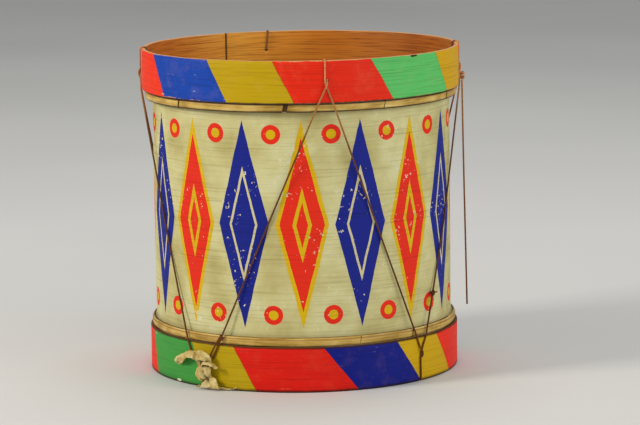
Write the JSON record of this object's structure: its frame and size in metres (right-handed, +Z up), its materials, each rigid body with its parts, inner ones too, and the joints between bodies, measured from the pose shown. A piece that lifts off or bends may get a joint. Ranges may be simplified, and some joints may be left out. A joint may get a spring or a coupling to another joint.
{
  "type": "toy drum",
  "caption": "Cord-laced toy drum: painted bent-wood shell with a recessed skin head at each end, striped wooden counter hoops, a zigzag tension cord and a hide tie.",
  "frame": {"origin": "centre of the drum's base, on the surface that the lower counter hoop stands on", "axes": "+Z up along the drum's axis; -Y is the front, midway between the two lower lacing points seen in the picture; +X to the right"},
  "size_m": [0.2965, 0.2883, 0.2912],
  "materials": {
    "painted_shell": "old cream paint with a printed pattern on thin bent wood, worn, satin",
    "painted_lath": "old paint in slanting stripes on a bent lath, bare wood inside",
    "bare_wood": "bare bent wood",
    "skin": "dry calfskin, matt to satin",
    "iron": "dark iron tack, dull",
    "twine": "twisted hemp twine, brown with age",
    "hide": "crumpled strip of dry hide"
  },
  "bodies": {
    "drum_shell": {"shell": "painted_shell", "shell_tack_1": "iron", "shell_tack_2": "iron", "shell_tack_3": "iron", "shell_tack_4": "iron", "shell_tack_5": "iron", "batter_head": "skin", "resonant_head": "skin", "tension_cord": "twine"},
    "top_hoop_set": {"top_counter_hoop": "painted_lath", "top_hoop_tack_1": "iron", "top_hoop_tack_2": "iron", "top_flesh_hoop": "bare_wood", "batter_head_tuck": "skin", "cord_tail_knot": "twine", "cord_tail": "twine"},
    "bottom_hoop_set": {"bottom_counter_hoop": "painted_lath", "bottom_hoop_tack_1": "iron", "bottom_hoop_tack_2": "iron", "bottom_flesh_hoop": "bare_wood", "resonant_head_tuck": "skin", "hide_tie_knot": "hide", "hide_tie_ear": "hide", "hide_tie_tail": "hide"}
  },
  "joints": [
    {"name": "bottom_hoop_draw", "type": "slide", "parent": "drum_shell", "child": "bottom_hoop_set", "axis": [0, 0, 1], "range_m": [0, 0.003], "deforming": ["tension_cord"]},
    {"name": "top_hoop_draw", "type": "slide", "parent": "drum_shell", "child": "top_hoop_set", "axis": [0, 0, -1], "range_m": [0, 0.003], "deforming": ["tension_cord"]}
  ],
  "couplings": [
    {"joint": "top_hoop_draw", "follows": "bottom_hoop_draw", "ratio": 1}
  ]
}
